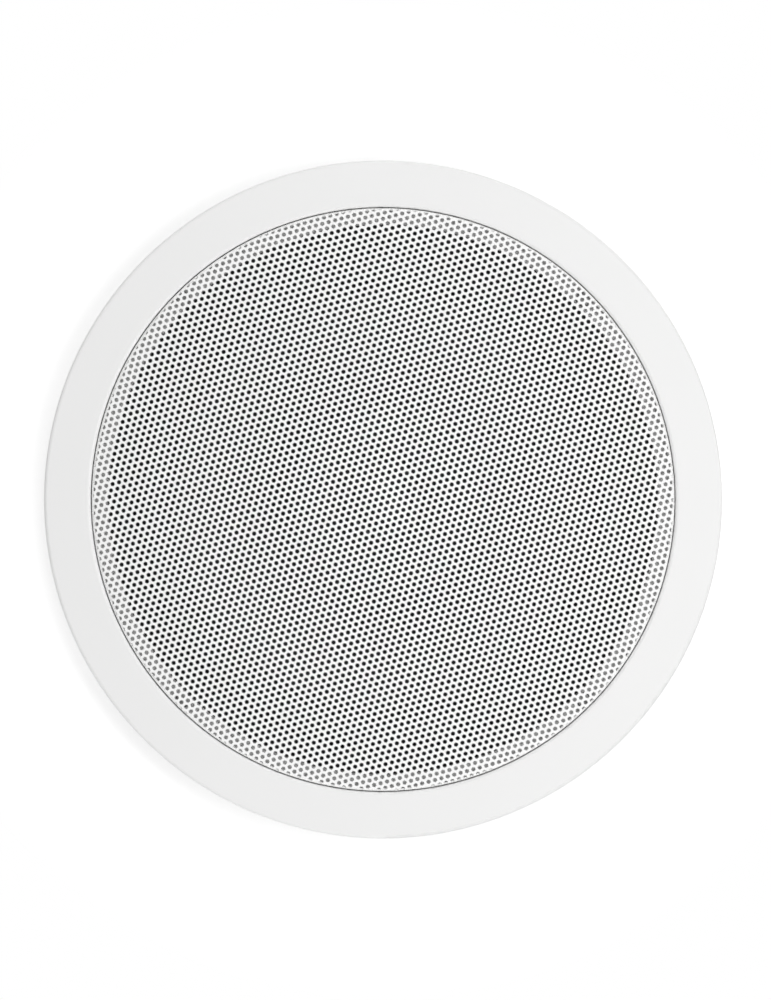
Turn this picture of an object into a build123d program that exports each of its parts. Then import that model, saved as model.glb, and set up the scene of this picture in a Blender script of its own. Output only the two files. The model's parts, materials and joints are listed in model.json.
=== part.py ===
from build123d import *
import math
import os

# Round in-ceiling loudspeaker: a moulded frame with a perforated grille, a woofer with a
# tweeter on its pole, a crossover with spring terminals, and four swing-out ceiling clamps.
# The ceiling's face is the plane Z = 0. The grille faces down, -Z, and the motor stands
# above the ceiling, +Z. All sizes are millimetres.

# Driving dimensions of the frame
rim_diameter = 268.0
rim_width = 18.5
rim_edge_height = 3.0
rim_lip_height = 4.5
rim_edge_round = 1.4
rim_lip_round = 1.3
frame_wall = 2.5
ledge_width = 6.5
ledge_depth = 2.5
seat_depth = 2.7
rib_thickness = 1.6
rib_height = 4.0
ribs_per_quarter = 4
rib_spacing_angle = 12.0

# Driving dimensions of the grille
grille_sheet = 0.8
grille_crown_radius = 1250.0
grille_bend = 1.5
grille_gap = 0.4
hole_pitch = 19.0
hole_diameter = 11.8
hole_row_angle = -15.6

# Driving dimensions of the woofer
flange_width = 11.5
flange_gap = 0.5
seal_thickness = 0.8
gasket_thickness = 2.0
gasket_clearance = 0.2
basket_sheet = 1.0
basket_depth = 42.6
basket_shoulder = 9.0
basket_bend = 2.0
mouth_room = 1.5
basket_windows = 6
spoke_width = 16.0
window_margin = 8.0
window_round = 4.0
shelf_margin = 2.0
spider_shelf_width = 8.0
spider_diameter = 116.0
neck_diameter = 92.0
neck_depth = 11.0
surround_width = 12.0
surround_lip = 2.5
surround_roll = 4.5
surround_sheet = 0.6
cone_sheet = 0.8
coil_radius = 19.1
former_sheet = 0.3
winding_depth = 0.8
winding_length = 12.0
magnet_gap_room = 0.6
spider_sheet = 0.5
spider_wave = 1.2
spider_waves = 4
spider_lip = 4.0
neck_to_spider = 4.0
front_plate_diameter = 86.0
front_plate_thickness = 6.0
magnet_diameter = 100.0
magnet_bore = 50.0
magnet_thickness = 17.0
motor_chamfer = 1.2
back_plate_diameter = 90.0
back_plate_thickness = 6.0
pole_vent_diameter = 7.0
flange_screws = 8
flange_screw_radius = 2.0
flange_screw_head_radius = 3.5
flange_screw_head_height = 2.2
flange_screw_length = 4.0
tag_width = 14.0
tag_height = 8.0
tag_sheet = 1.6
tag_lug_spacing = 8.0
tag_lug_width = 3.0
tag_lug_sheet = 0.5
tag_lug_foot = 4.0
tag_lug_reach = 6.0
tag_lug_eye = 0.7
tag_rivet_radius = 1.2
tag_rivet_head_radius = 2.0
tag_rivet_head_height = 0.7

# Driving dimensions of the tweeter
tweeter_diameter = 75.0
tweeter_setback = 1.5
tweeter_rim_width = 4.0
tweeter_rim_height = 2.0
tweeter_rim_round = 0.8
throat_radius = 14.3
throat_depth = 6.5
throat_wall = 2.0
dome_radius = 12.4
dome_height = 3.8
dome_sheet = 0.4
diaphragm_radius = 17.0
tweeter_coil_sheet = 0.5
tweeter_coil_length = 4.6
tweeter_gap_room = 0.7
tweeter_cup_floor = 3.0
tweeter_cup_depth = 9.0
cup_clearance = 0.2
tweeter_plate_thickness = 2.2
tweeter_magnet_thickness = 5.1
tweeter_wall = 2.5
tweeter_shoulder = 1.0
post_radius = 7.0
post_flange_radius = 11.0
post_flange_height = 3.0

# Driving dimensions of the screw heads and their driver's crosses
head_round = 0.6
recess_width = 0.9
recess_share = 0.55
recess_depth = 1.1

# Driving dimensions of the ceiling clamps
clamp_count = 4
clamp_start_angle = 45.0
clamp_screw_radius = 1.75
clamp_head_radius = 2.9
clamp_head_height = 2.2
clamp_head_sink = 0.2
clamp_screw_reach = 48.0
clamp_tip = 2.0
running_clearance = 0.05
screw_hole_clearance = 0.1
retainer_radius = 4.0
retainer_thickness = 1.2
insert_radius = 2.95
insert_flange_radius = 4.2
insert_flange_height = 1.0
insert_lift = 0.8
hub_radius = 5.5
hub_height = 12.0
hub_play = 0.1
arm_length = 32.0
arm_width = 9.0
arm_thickness = 4.0
arm_foot_length = 8.0
arm_foot_drop = 1.0
arm_rib_thickness = 2.4
arm_round = 2.0
arm_parked_angle = 103.0
guide_clearance = 0.4
guide_wall = 2.0
guide_height = 42.0
guide_stop_angle = 1.5

# Driving dimensions of the crossover and the terminals
board_width = 84.0
board_height = 38.0
board_sheet = 1.6
board_round = 2.0
board_inset = 15.5
board_lift = 4.0
upright_width = 8.0
upright_depth = 4.0
board_screw_radius = 1.4
board_screw_head_radius = 2.7
board_screw_head_height = 1.8
board_screw_inset = 5.0
bobbin_radius = 10.5
bobbin_core_radius = 4.0
bobbin_length = 15.0
bobbin_flange = 1.5
bobbin_wire_inset = 1.0
capacitor_radius = 6.5
capacitor_length = 24.0
capacitor_round = 0.8
resistor_length = 22.0
resistor_height = 8.0
resistor_depth = 8.0
resistor_round = 0.8
component_gap = 0.2
terminal_width = 34.0
terminal_depth = 12.0
terminal_height = 18.0
terminal_lift = 10.0
terminal_cover = 2.0
terminal_floor = 3.0
terminal_round = 1.2
terminal_spacing = 16.0
lever_width = 8.0
lever_depth = 6.0
lever_rise = 4.0
lever_collar = 1.0
lever_collar_height = 3.0
lever_clearance = 0.3
wire_hole_radius = 1.7
contact_width = 5.0
contact_height = 6.0
spring_radius = 2.6
spring_wall = 0.6

# Radii that follow from the rim, from the outside in
rim_r = rim_diameter / 2
well_r = rim_r - rim_width
skirt_r = well_r + frame_wall
ledge_r = well_r - ledge_width
grille_r = well_r - grille_gap
flange_r = ledge_r - flange_gap
surround_r = flange_r - flange_width
cone_r = surround_r - surround_width
mouth_r = surround_r - surround_lip / 2
opening_r = mouth_r + basket_sheet + mouth_room
flange_screw_circle = (flange_r + surround_r + surround_lip) / 2
flange_screw_start = 180 / flange_screws
shelf_r = spider_diameter / 2 + shelf_margin
neck_r = neck_diameter / 2

# Levels that follow from the ceiling's face, from the grille to the motor
seat_z = ledge_depth + seat_depth
frame_back = seat_z + frame_wall
flange_back = seat_z - seal_thickness
flange_front = flange_back - basket_sheet
shoulder_z = flange_back + basket_shoulder
shelf_z = flange_front + basket_depth
plate_z = shelf_z + neck_depth + basket_sheet
magnet_z = plate_z + front_plate_thickness
yoke_z = magnet_z + magnet_thickness
motor_top = yoke_z + back_plate_thickness
former_bore = coil_radius - former_sheet
winding_r = coil_radius + winding_depth
gap_r = winding_r + magnet_gap_room
pole_r = former_bore - magnet_gap_room
pole_front = plate_z
spider_front = shelf_z - spider_sheet
cone_neck_z = spider_front - neck_to_spider
winding_z = plate_z + front_plate_thickness / 2 - winding_length / 2

# Levels of the tweeter, from its front to its post
tweeter_r = tweeter_diameter / 2
tweeter_front = tweeter_setback - rim_lip_height
tweeter_seam = tweeter_front + tweeter_rim_height
throat_z = tweeter_front + throat_depth
diaphragm_z = throat_z + throat_wall
cup_front = diaphragm_z + dome_sheet
cup_floor_z = cup_front + tweeter_cup_depth
cup_back = cup_floor_z + tweeter_cup_floor
housing_back = cup_back + tweeter_wall

# Place and levels of the clamps
clamp_circle = well_r - ledge_width / 2
clamp_head_z = ledge_depth + clamp_head_sink
clamp_shoulder_z = clamp_head_z + clamp_head_height
clamp_screw_end = frame_back + clamp_screw_reach
retainer_z = clamp_screw_end - clamp_tip - retainer_thickness
insert_z = frame_back + insert_lift
hub_z = insert_z + insert_flange_height + hub_play
insert_top = hub_z + hub_height + hub_play
guide_r = hub_radius + guide_clearance
stop_half_angle = math.degrees(math.asin(arm_width / 2 / guide_r)) + guide_stop_angle

# Place and levels of the crossover board and the terminal block
board_face = -(skirt_r - board_inset)
board_back = board_face + board_sheet
board_z = frame_back + board_lift
board_top = board_z + board_height
upright_x = board_width / 2 - board_screw_inset
block_z = board_z + terminal_lift
block_top = block_z + terminal_height
block_mid_y = board_face - terminal_depth / 2
pocket_floor = block_z + terminal_floor
collar_width = lever_width + 2 * lever_collar
collar_depth = lever_depth + 2 * lever_collar
collar_z = block_top - lever_collar_height

os.makedirs("parts", exist_ok=True)


def save(piece, name):
    """Label a finished piece and write it to its own file."""
    piece.part.label = name
    export_step(piece.part, f"parts/{name}.step")


def ring(inner, outer):
    """Sketch an annulus on the current plane."""
    Circle(outer)
    Circle(inner, mode=Mode.SUBTRACT)


def cross_recess(head_radius):
    """Sketch a driver's cross over its share of a screw head."""
    for turn in (0, 90):
        Rectangle(2 * recess_share * head_radius, recess_width, rotation=turn)


def clamp_plane(index, height):
    """Plane on the axis of one clamp: X points away from the speaker's middle."""
    angle = math.radians(clamp_start_angle + 360 / clamp_count * index)
    outward = Vector(math.cos(angle), math.sin(angle), 0)
    return Plane(origin=outward * clamp_circle + Vector(0, 0, height), x_dir=outward, z_dir=(0, 0, 1))


def board_plane(x, z):
    """Plane on the board's inner face: its normal points towards the basket."""
    return Plane(origin=(x, board_back, z), x_dir=(-1, 0, 0), z_dir=(0, 1, 0))


# Frame: rim, grille well, ledge and woofer seat in one moulding
with BuildPart() as frame:
    with BuildSketch(Plane.XZ) as frame_profile:
        with BuildLine():
            Polyline(
                (well_r, -rim_lip_height),
                (rim_r, -rim_edge_height),
                (rim_r, 0),
                (skirt_r, 0),
                (skirt_r, frame_back),
                (opening_r, frame_back),
                (opening_r, seat_z),
                (ledge_r, seat_z),
                (ledge_r, ledge_depth),
                (well_r, ledge_depth),
                close=True,
            )
        make_face()
        fillet(frame_profile.vertices().sort_by_distance((rim_r, -rim_edge_height))[0], rim_edge_round)
        fillet(frame_profile.vertices().sort_by_distance((well_r, -rim_lip_height))[0], rim_lip_round)
    revolve(axis=Axis.Z)
    # Wall round the opening and ribs from it to the skirt
    with BuildSketch(Plane.XY.offset(frame_back)):
        ring(opening_r, opening_r + frame_wall)
    extrude(amount=rib_height)
    rib_reach = skirt_r - opening_r - frame_wall
    rib_start = -rib_spacing_angle * (ribs_per_quarter - 1) / 2
    for quarter in range(4):
        with BuildSketch(Plane.XY.offset(frame_back)):
            with PolarLocations(
                (skirt_r + opening_r) / 2,
                ribs_per_quarter,
                start_angle=90 * quarter + rib_start,
                angular_range=rib_spacing_angle * ribs_per_quarter,
            ):
                Rectangle(rib_reach, rib_thickness)
        extrude(amount=rib_height)
    # Uprights that carry the crossover board
    with BuildSketch(Plane.XY.offset(frame_back)):
        with Locations((0, board_face - upright_depth / 2)):
            with GridLocations(2 * upright_x, 0, 2, 1):
                Rectangle(upright_width, upright_depth)
    extrude(amount=board_top - frame_back)
    # A guide wall beside each clamp: its two ends stop the arm
    for index in range(clamp_count):
        with BuildSketch(clamp_plane(index, frame_back)):
            with BuildLine():
                start = arm_parked_angle + stop_half_angle
                sweep_angle = 360 - start - stop_half_angle
                inner = CenterArc((0, 0), guide_r, start, sweep_angle)
                outer = CenterArc((0, 0), guide_r + guide_wall, start, sweep_angle)
                Line(inner @ 0, outer @ 0)
                Line(inner @ 1, outer @ 1)
            make_face()
        extrude(amount=guide_height)
    # Holes for the clamp screws, with a counterbore for each head
    for index in range(clamp_count):
        with BuildSketch(clamp_plane(index, ledge_depth)):
            Circle(clamp_screw_radius + screw_hole_clearance)
        extrude(amount=frame_back - ledge_depth, mode=Mode.SUBTRACT)
        with BuildSketch(clamp_plane(index, ledge_depth)):
            Circle(clamp_head_radius + screw_hole_clearance)
        extrude(amount=clamp_shoulder_z - ledge_depth, mode=Mode.SUBTRACT)
    # Pilot holes in the woofer seat and in the uprights
    with BuildSketch(Plane.XY.offset(seat_z)):
        with PolarLocations(flange_screw_circle, flange_screws, start_angle=flange_screw_start):
            Circle(flange_screw_radius + running_clearance)
    extrude(amount=frame_wall, mode=Mode.SUBTRACT)
    with BuildSketch(Plane.XZ.offset(-board_face)):
        with Locations((0, (board_z + board_top) / 2)):
            with GridLocations(2 * upright_x, board_height - 2 * board_screw_inset, 2, 2):
                Circle(board_screw_radius + running_clearance)
    extrude(amount=upright_depth, mode=Mode.SUBTRACT)
save(frame, "frame")

# Grille: a crowned sheet with a turned edge and a hexagonal field of round holes
crown_edge_r = (grille_r - grille_bend) / (1 - grille_bend / grille_crown_radius)
crown_angle = math.degrees(math.asin(crown_edge_r / grille_crown_radius))
crown_drop = grille_crown_radius * (1 - math.cos(math.radians(crown_angle)))
crown_front = -rim_lip_height - crown_drop
field_r = crown_edge_r - hole_diameter / 2
row_count = int(field_r / hole_pitch / math.sin(math.radians(60))) + 1
with BuildPart() as grille:
    with BuildSketch(Plane.XZ):
        with BuildLine():
            crown = CenterArc(
                (0, crown_front + grille_crown_radius), grille_crown_radius, 270, crown_angle
            )
            bend = JernArc(crown @ 1, crown % 1, grille_bend, 90 - crown_angle)
            Line(bend @ 1, (grille_r, ledge_depth))
            offset(amount=grille_sheet, side=Side.LEFT)
        make_face()
    revolve(axis=Axis.Z)
    row_turn = Vector(1, 0).rotate(Axis.Z, hole_row_angle)
    row_step = Vector(1, 0).rotate(Axis.Z, hole_row_angle + 60)
    hole_points = []
    for row in range(-row_count, row_count + 1):
        for column in range(-2 * row_count, 2 * row_count + 1):
            point = row_turn * (hole_pitch * column) + row_step * (hole_pitch * row)
            if point.length < field_r:
                hole_points.append(point)
    with BuildSketch(Plane.XY.offset(crown_front - grille_sheet)):
        with Locations(hole_points):
            Circle(hole_diameter / 2)
    extrude(amount=crown_drop + 3 * grille_sheet, mode=Mode.SUBTRACT)
save(grille, "grille")

# Woofer basket: one drawn sheet from the flange to the motor, with windows between spokes
window_outer = mouth_r - window_margin
window_inner = shelf_r + window_margin / 2
wall_run = Vector(mouth_r - shelf_r, shelf_z - shoulder_z)
wall_out_r = wall_run.Y / wall_run.length
wall_out_z = wall_run.X / wall_run.length
tag_plane = Plane(
    origin=(
        0,
        -(mouth_r + shelf_r) / 2 - wall_out_r * basket_sheet,
        (shoulder_z + shelf_z) / 2 + wall_out_z * basket_sheet,
    ),
    x_dir=(1, 0, 0),
    z_dir=(0, -wall_out_r, wall_out_z),
)
with BuildPart() as basket:
    with BuildSketch(Plane.XZ):
        with BuildLine():
            FilletPolyline(
                (flange_r, flange_front),
                (mouth_r, flange_front),
                (mouth_r, shoulder_z),
                (shelf_r, shelf_z),
                (shelf_r - spider_shelf_width, shelf_z),
                (neck_r, plate_z - basket_sheet),
                (gap_r, plate_z - basket_sheet),
                radius=basket_bend,
            )
            offset(amount=basket_sheet, side=Side.RIGHT, kind=Kind.INTERSECTION)
        make_face()
    revolve(axis=Axis.Z)
    with BuildSketch(Plane.XY.offset(shoulder_z)) as windows:
        ring(window_inner, window_outer)
        with PolarLocations(rim_r / 2, basket_windows, start_angle=180 / basket_windows):
            Rectangle(rim_r, spoke_width, mode=Mode.SUBTRACT)
        fillet(windows.vertices(), window_round)
    extrude(amount=shelf_z - shoulder_z, mode=Mode.SUBTRACT)
    with BuildSketch(Plane.XY.offset(flange_front)):
        with PolarLocations(flange_screw_circle, flange_screws, start_angle=flange_screw_start):
            Circle(flange_screw_radius + running_clearance)
    extrude(amount=basket_sheet, mode=Mode.SUBTRACT)
    with BuildSketch(tag_plane):
        Circle(tag_rivet_radius + running_clearance)
    extrude(amount=-2 * basket_sheet, mode=Mode.SUBTRACT)
save(basket, "woofer_basket")

# Tag strip on the spoke beside the board: insulator, two lugs and the rivet that holds it
with BuildPart() as tag_strip:
    with BuildSketch(tag_plane):
        Rectangle(tag_width, tag_height)
        Circle(tag_rivet_radius + running_clearance, mode=Mode.SUBTRACT)
    extrude(amount=tag_sheet)
save(tag_strip, "tag_strip")

with BuildPart() as tag_lugs:
    with BuildSketch(tag_plane.offset(tag_sheet)):
        with GridLocations(tag_lug_spacing, 0, 2, 1):
            Rectangle(tag_lug_width, tag_lug_foot)
    extrude(amount=tag_lug_sheet)
    with BuildSketch(tag_plane.offset(tag_sheet)):
        with Locations((0, (tag_lug_foot - tag_lug_sheet) / 2)):
            with GridLocations(tag_lug_spacing, 0, 2, 1):
                Rectangle(tag_lug_width, tag_lug_sheet)
    extrude(amount=tag_lug_reach)
    lug_face = Plane(origin=tag_plane.origin, x_dir=tag_plane.x_dir, z_dir=-tag_plane.y_dir)
    with BuildSketch(lug_face):
        with Locations((0, tag_sheet + tag_lug_reach - tag_lug_width / 2)):
            with GridLocations(tag_lug_spacing, 0, 2, 1):
                Circle(tag_lug_eye)
    extrude(amount=tag_lug_foot, both=True, mode=Mode.SUBTRACT)
save(tag_lugs, "tag_lugs")

with BuildPart() as tag_rivet:
    with BuildSketch(tag_plane.offset(-basket_sheet)):
        Circle(tag_rivet_radius)
    extrude(amount=basket_sheet + tag_sheet)
    with BuildSketch(tag_plane.offset(tag_sheet)):
        Circle(tag_rivet_head_radius)
    extrude(amount=tag_rivet_head_height)
save(tag_rivet, "tag_rivet")

# Foam seal between the flange and its seat
with BuildPart() as seal:
    with BuildSketch(Plane.XY.offset(flange_back)):
        ring(opening_r, flange_r)
        with PolarLocations(flange_screw_circle, flange_screws, start_angle=flange_screw_start):
            Circle(flange_screw_radius + running_clearance, mode=Mode.SUBTRACT)
    extrude(amount=seal_thickness)
save(seal, "flange_seal")

# Gasket on the flange's front, with a hole round each screw head
gasket_r = surround_r + surround_lip + gasket_clearance
with BuildPart() as gasket:
    with BuildSketch(Plane.XY.offset(flange_front - gasket_thickness)):
        ring(gasket_r, flange_r)
        with PolarLocations(flange_screw_circle, flange_screws, start_angle=flange_screw_start):
            Circle(flange_screw_head_radius + gasket_clearance, mode=Mode.SUBTRACT)
    extrude(amount=gasket_thickness)
save(gasket, "flange_gasket")

# Screws that hold the woofer to its seat
with BuildPart() as flange_screw_set:
    with BuildSketch(Plane.XY.offset(flange_front - flange_screw_head_height)):
        with PolarLocations(flange_screw_circle, flange_screws, start_angle=flange_screw_start):
            Circle(flange_screw_head_radius)
    extrude(amount=flange_screw_head_height)
    fillet(flange_screw_set.edges().group_by(Axis.Z)[0], head_round)
    with BuildSketch(Plane.XY.offset(flange_front - flange_screw_head_height)):
        with PolarLocations(flange_screw_circle, flange_screws, start_angle=flange_screw_start):
            cross_recess(flange_screw_head_radius)
    extrude(amount=recess_depth, mode=Mode.SUBTRACT)
    with BuildSketch(Plane.XY.offset(flange_front)):
        with PolarLocations(flange_screw_circle, flange_screws, start_angle=flange_screw_start):
            Circle(flange_screw_radius)
    extrude(amount=flange_screw_length)
save(flange_screw_set, "woofer_screws")

# Surround: a half roll between the flange and the cone
surround_front = flange_front - surround_sheet
with BuildPart() as surround:
    with BuildSketch(Plane.XZ):
        with BuildLine():
            Line((surround_r + surround_lip, surround_front), (surround_r, surround_front))
            ThreePointArc(
                (surround_r, surround_front),
                ((surround_r + cone_r) / 2, surround_front - surround_roll),
                (cone_r, surround_front),
            )
            Line((cone_r, surround_front), (cone_r - surround_lip, surround_front))
            offset(amount=surround_sheet, side=Side.RIGHT, kind=Kind.INTERSECTION)
        make_face()
    revolve(axis=Axis.Z)
save(surround, "surround")

# Cone: a flat rim under the surround, then a wall down to the coil former
with BuildPart() as cone:
    with BuildSketch(Plane.XZ):
        with BuildLine():
            Polyline(
                (cone_r, flange_front),
                (cone_r - surround_lip, flange_front),
                (coil_radius, cone_neck_z),
            )
            offset(amount=cone_sheet, side=Side.RIGHT, kind=Kind.INTERSECTION)
        make_face()
    revolve(axis=Axis.Z)
    with BuildSketch(Plane.XY):
        Circle(coil_radius)
    extrude(amount=motor_top, mode=Mode.SUBTRACT)
save(cone, "cone")

# Coil former and its winding
with BuildPart() as former:
    with BuildSketch(Plane.XY.offset(cone_neck_z)):
        ring(former_bore, coil_radius)
    extrude(amount=winding_z + winding_length - cone_neck_z)
save(former, "coil_former")

with BuildPart() as winding:
    with BuildSketch(Plane.XY.offset(winding_z)):
        ring(coil_radius, winding_r)
    extrude(amount=winding_length)
save(winding, "voice_coil")

# Spider: a corrugated disc from the former to the basket's shelf
with BuildPart() as spider:
    spider_r = spider_diameter / 2
    wave_start = spider_r - spider_lip
    wave_end = coil_radius + spider_lip
    half_waves = 2 * spider_waves
    wave_points = []
    for step in range(1, half_waves):
        side = -1 if step % 2 else 1
        radius = wave_start + (wave_end - wave_start) * step / half_waves
        wave_points.append((radius, spider_front + side * spider_wave))
    with BuildSketch(Plane.XZ):
        with BuildLine():
            Polyline(
                (spider_r, spider_front),
                (wave_start, spider_front),
                *wave_points,
                (wave_end, spider_front),
                (coil_radius, spider_front),
            )
            offset(amount=spider_sheet, side=Side.RIGHT, kind=Kind.INTERSECTION)
        make_face()
    revolve(axis=Axis.Z)
save(spider, "spider")

# Motor: front plate, ferrite ring, and back plate with its vented pole
with BuildPart() as front_plate:
    with BuildSketch(Plane.XY.offset(plate_z)):
        ring(gap_r, front_plate_diameter / 2)
    extrude(amount=front_plate_thickness)
save(front_plate, "front_plate")

with BuildPart() as magnet:
    with BuildSketch(Plane.XY.offset(magnet_z)):
        ring(magnet_bore / 2, magnet_diameter / 2)
    extrude(amount=magnet_thickness)
    chamfer(magnet.edges().filter_by(GeomType.CIRCLE).sort_by(SortBy.RADIUS)[-2:], motor_chamfer)
save(magnet, "magnet")

with BuildPart() as yoke:
    with BuildSketch(Plane.XY.offset(yoke_z)):
        Circle(back_plate_diameter / 2)
    extrude(amount=back_plate_thickness)
    with BuildSketch(Plane.XY.offset(pole_front)):
        Circle(pole_r)
    extrude(amount=yoke_z - pole_front)
    with BuildSketch(Plane.XY.offset(pole_front)):
        Circle(pole_vent_diameter / 2)
    extrude(amount=motor_top - pole_front, mode=Mode.SUBTRACT)
    chamfer(yoke.faces().sort_by(Axis.Z)[-1].outer_wire().edges(), motor_chamfer)
save(yoke, "back_plate_and_pole")

# Post that stands on the pole and carries the tweeter
with BuildPart() as post:
    with BuildSketch(Plane.XY.offset(housing_back)):
        ring(pole_vent_diameter / 2, post_radius)
    extrude(amount=pole_front - housing_back)
    with BuildSketch(Plane.XY.offset(pole_front - post_flange_height)):
        ring(post_radius, post_flange_radius)
    extrude(amount=post_flange_height)
save(post, "tweeter_post")

# Tweeter housing: a tapered cup behind the faceplate
housing_r = tweeter_r - tweeter_rim_round
with BuildPart() as housing:
    with BuildSketch(Plane.XZ):
        with BuildLine():
            Polyline(
                (housing_r, tweeter_seam),
                (housing_r, tweeter_seam + tweeter_wall),
                (diaphragm_radius + tweeter_wall + tweeter_shoulder, cup_back),
                (diaphragm_radius + tweeter_wall, housing_back),
                (pole_vent_diameter / 2, housing_back),
                (pole_vent_diameter / 2, cup_back),
                (diaphragm_radius + cup_clearance, cup_back),
                (diaphragm_radius + cup_clearance, cup_floor_z),
                (housing_r - tweeter_wall, tweeter_seam),
                close=True,
            )
        make_face()
    revolve(axis=Axis.Z)
save(housing, "tweeter_housing")

# Faceplate: a rim and a flared waveguide down to the dome
flare_r = tweeter_r - tweeter_rim_width
with BuildPart() as faceplate:
    with BuildSketch(Plane.XZ) as faceplate_profile:
        with BuildLine():
            Polyline((flare_r, tweeter_front), (tweeter_r, tweeter_front), (tweeter_r, tweeter_seam))
            Polyline(
                (tweeter_r, tweeter_seam),
                (flare_r, tweeter_seam),
                (diaphragm_radius, diaphragm_z),
                (throat_radius, diaphragm_z),
                (throat_radius, throat_z),
            )
            EllipticalCenterArc(
                (flare_r, throat_z), flare_r - throat_radius, throat_depth, start_angle=180, arc_size=90
            )
        make_face()
        rim_corner = faceplate_profile.vertices().sort_by_distance((tweeter_r, tweeter_front))[0]
        fillet(rim_corner, tweeter_rim_round)
    revolve(axis=Axis.Z)
save(faceplate, "tweeter_faceplate")

# Dome diaphragm with its flat clamping rim
dome_sphere = (dome_radius**2 + dome_height**2) / (2 * dome_height)
dome_angle = math.degrees(math.asin(dome_radius / dome_sphere))
with BuildPart() as diaphragm:
    with BuildSketch(Plane.XZ):
        with BuildLine():
            dome = CenterArc((0, diaphragm_z - dome_height + dome_sphere), dome_sphere, 270, dome_angle)
            Line(dome @ 1, (diaphragm_radius, diaphragm_z))
            offset(amount=dome_sheet, side=Side.LEFT, kind=Kind.INTERSECTION)
        make_face()
    revolve(axis=Axis.Z)
save(diaphragm, "tweeter_dome")

# Tweeter motor: coil, cup, magnet and pole plate
coil_outer = dome_radius + tweeter_coil_sheet / 2
coil_inner = dome_radius - tweeter_coil_sheet / 2
cup_bore = coil_outer + tweeter_gap_room
tweeter_pole_r = coil_inner - tweeter_gap_room
with BuildPart() as tweeter_coil:
    with BuildSketch(Plane.XY.offset(cup_front)):
        ring(coil_inner, coil_outer)
    extrude(amount=tweeter_coil_length)
save(tweeter_coil, "tweeter_coil")

with BuildPart() as cup:
    with BuildSketch(Plane.XY.offset(cup_front)):
        ring(cup_bore, diaphragm_radius)
    extrude(amount=tweeter_cup_depth)
    with BuildSketch(Plane.XY.offset(cup_floor_z)):
        Circle(diaphragm_radius)
    extrude(amount=tweeter_cup_floor)
save(cup, "tweeter_cup")

with BuildPart() as tweeter_magnet:
    with BuildSketch(Plane.XY.offset(cup_floor_z - tweeter_magnet_thickness)):
        Circle(tweeter_pole_r - tweeter_gap_room)
    extrude(amount=tweeter_magnet_thickness)
save(tweeter_magnet, "tweeter_magnet")

with BuildPart() as pole_plate:
    with BuildSketch(
        Plane.XY.offset(cup_floor_z - tweeter_magnet_thickness - tweeter_plate_thickness)
    ):
        Circle(tweeter_pole_r)
    extrude(amount=tweeter_plate_thickness)
save(pole_plate, "tweeter_pole_plate")

# Ceiling clamps: screw, retainer, threaded insert and swing arm
for index in range(clamp_count):
    with BuildPart() as clamp_screw:
        with BuildSketch(clamp_plane(index, clamp_head_z)):
            Circle(clamp_head_radius)
        extrude(amount=clamp_head_height)
        fillet(clamp_screw.edges().sort_by(Axis.Z)[0], head_round)
        with BuildSketch(clamp_plane(index, clamp_head_z)):
            cross_recess(clamp_head_radius)
        extrude(amount=recess_depth, mode=Mode.SUBTRACT)
        with BuildSketch(clamp_plane(index, clamp_shoulder_z)):
            Circle(clamp_screw_radius)
        extrude(amount=clamp_screw_end - clamp_shoulder_z)
    save(clamp_screw, f"clamp_screw_{index + 1}")

    with BuildPart() as retainer:
        with BuildSketch(clamp_plane(index, retainer_z)):
            ring(clamp_screw_radius, retainer_radius)
        extrude(amount=retainer_thickness)
    save(retainer, f"clamp_retainer_{index + 1}")

    with BuildPart() as insert:
        with BuildSketch(clamp_plane(index, insert_z)):
            Circle(insert_radius)
        extrude(amount=insert_top + insert_flange_height - insert_z)
        for level in (insert_z, insert_top):
            with BuildSketch(clamp_plane(index, level)):
                Circle(insert_flange_radius)
            extrude(amount=insert_flange_height)
        with BuildSketch(clamp_plane(index, insert_z)):
            Circle(clamp_screw_radius + running_clearance)
        extrude(amount=insert_top + insert_flange_height - insert_z, mode=Mode.SUBTRACT)
    save(insert, f"clamp_insert_{index + 1}")

    # The arm is parked beside the frame, turned past the tangent towards the middle
    arm_base = clamp_plane(index, hub_z).rotated((0, 0, arm_parked_angle))
    with BuildPart() as arm:
        with BuildSketch(arm_base) as arm_plan:
            with Locations((arm_length / 2, 0)):
                Rectangle(arm_length, arm_width)
            fillet(arm_plan.vertices().sort_by(Axis.X)[-2:], arm_round)
        extrude(amount=arm_thickness)
        with BuildSketch(arm_base.offset(-arm_foot_drop)) as foot_plan:
            with Locations((arm_length - arm_foot_length / 2, 0)):
                Rectangle(arm_foot_length, arm_width)
            fillet(foot_plan.vertices().sort_by(Axis.X)[-2:], arm_round)
        extrude(amount=arm_foot_drop)
        with BuildSketch(arm_base):
            Circle(hub_radius)
        extrude(amount=hub_height)
        # Web from the hub's top down to the foot
        web_plane = Plane(origin=arm_base.origin, x_dir=arm_base.x_dir, z_dir=-arm_base.y_dir)
        with BuildSketch(web_plane):
            with BuildLine():
                Polyline(
                    (0, arm_thickness),
                    (arm_length - arm_foot_length, arm_thickness),
                    (hub_radius, hub_height),
                    (0, hub_height),
                    close=True,
                )
            make_face()
        extrude(amount=arm_rib_thickness / 2, both=True)
        with BuildSketch(arm_base):
            Circle(insert_radius + running_clearance)
        extrude(amount=hub_height, mode=Mode.SUBTRACT)
    save(arm, f"clamp_arm_{index + 1}")

# Crossover board with its screws
with BuildPart() as board:
    with BuildSketch(Plane.XZ.offset(-board_back)):
        with Locations((0, (board_z + board_top) / 2)):
            RectangleRounded(board_width, board_height, board_round)
            with GridLocations(2 * upright_x, board_height - 2 * board_screw_inset, 2, 2):
                Circle(board_screw_radius + running_clearance, mode=Mode.SUBTRACT)
    extrude(amount=board_sheet)
save(board, "crossover_board")

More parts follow.
